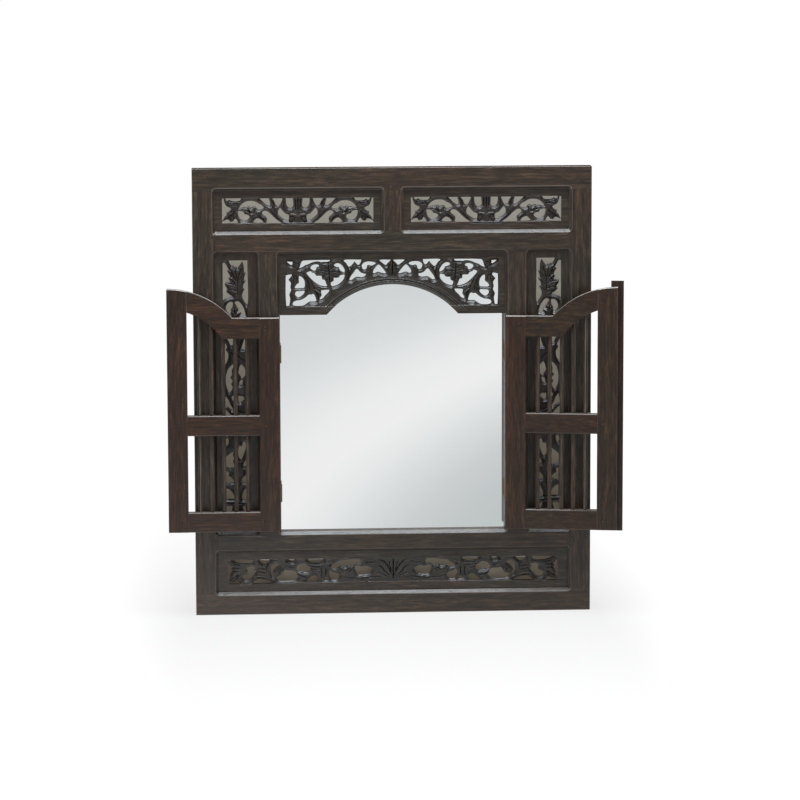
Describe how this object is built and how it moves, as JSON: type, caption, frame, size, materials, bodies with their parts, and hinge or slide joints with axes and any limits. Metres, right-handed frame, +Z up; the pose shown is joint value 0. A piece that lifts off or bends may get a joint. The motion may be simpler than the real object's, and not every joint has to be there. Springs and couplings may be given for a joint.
{
  "type": "wood framed wall mirror",
  "caption": "Rectangular dark wood frame with carved openwork panels round an arched mirror, which barred wooden shutters on butt hinges swing open to show.",
  "frame": {"origin": "middle of the top rail's back face, where the frame bears on the wall", "axes": "+Z up, -Y out of the wall towards the viewer, +X to the viewer's right"},
  "size_m": [1.011, 0.1021, 1],
  "materials": {
    "dark_wood": "dark stained open-grained hardwood with a low sheen",
    "mirror": "silvered plate glass",
    "board": "plain unfinished board",
    "steel": "dull steel",
    "brass": "aged brass"
  },
  "bodies": {
    "frame": {"arch_panel": "dark_wood", "backing_board": "board", "backing_pin_bottom": "steel", "backing_pin_left_lower": "steel", "backing_pin_left_upper": "steel", "backing_pin_right_lower": "steel", "backing_pin_right_upper": "steel", "backing_pin_top": "steel", "bottom_panel": "dark_wood", "bottom_rail": "dark_wood", "centre_muntin": "dark_wood", "cross_rail": "dark_wood", "left_hanger_plate": "steel", "left_lower_hinge_frame_leaf": "brass", "left_lower_hinge_pin": "brass", "left_mullion": "dark_wood", "left_side_panel": "dark_wood", "left_stile": "dark_wood", "left_upper_hinge_frame_leaf": "brass", "left_upper_hinge_pin": "brass", "mirror_glass": "mirror", "right_hanger_plate": "steel", "right_lower_hinge_frame_leaf": "brass", "right_lower_hinge_pin": "brass", "right_mullion": "dark_wood", "right_side_panel": "dark_wood", "right_stile": "dark_wood", "right_upper_hinge_frame_leaf": "brass", "right_upper_hinge_pin": "brass", "sill_rail": "dark_wood", "top_left_panel": "dark_wood", "top_rail": "dark_wood", "top_right_panel": "dark_wood"},
    "left_shutter": {"left_lower_hinge_shutter_leaf": "brass", "left_shutter_bar_1": "dark_wood", "left_shutter_bar_2": "dark_wood", "left_shutter_bar_3": "dark_wood", "left_shutter_bar_4": "dark_wood", "left_shutter_bar_5": "dark_wood", "left_shutter_bottom_rail": "dark_wood", "left_shutter_hinge_stile": "dark_wood", "left_shutter_meeting_stile": "dark_wood", "left_shutter_middle_rail": "dark_wood", "left_shutter_top_rail": "dark_wood", "left_upper_hinge_shutter_leaf": "brass"},
    "right_shutter": {"meeting_strip": "dark_wood", "right_lower_hinge_shutter_leaf": "brass", "right_shutter_bar_1": "dark_wood", "right_shutter_bar_2": "dark_wood", "right_shutter_bar_3": "dark_wood", "right_shutter_bar_4": "dark_wood", "right_shutter_bar_5": "dark_wood", "right_shutter_bottom_rail": "dark_wood", "right_shutter_hinge_stile": "dark_wood", "right_shutter_meeting_stile": "dark_wood", "right_shutter_middle_rail": "dark_wood", "right_shutter_top_rail": "dark_wood", "right_upper_hinge_shutter_leaf": "brass"}
  },
  "joints": [
    {"name": "left_shutter_swing", "type": "hinge", "parent": "frame", "child": "left_shutter", "pos_m": [-0.251, -0.0355, -0.5], "axis": [0, 0, 1], "range_deg": [0, 180]},
    {"name": "right_shutter_swing", "type": "hinge", "parent": "frame", "child": "right_shutter", "pos_m": [0.251, -0.0355, -0.5], "axis": [0, 0, -1], "range_deg": [-10, 170]}
  ]
}
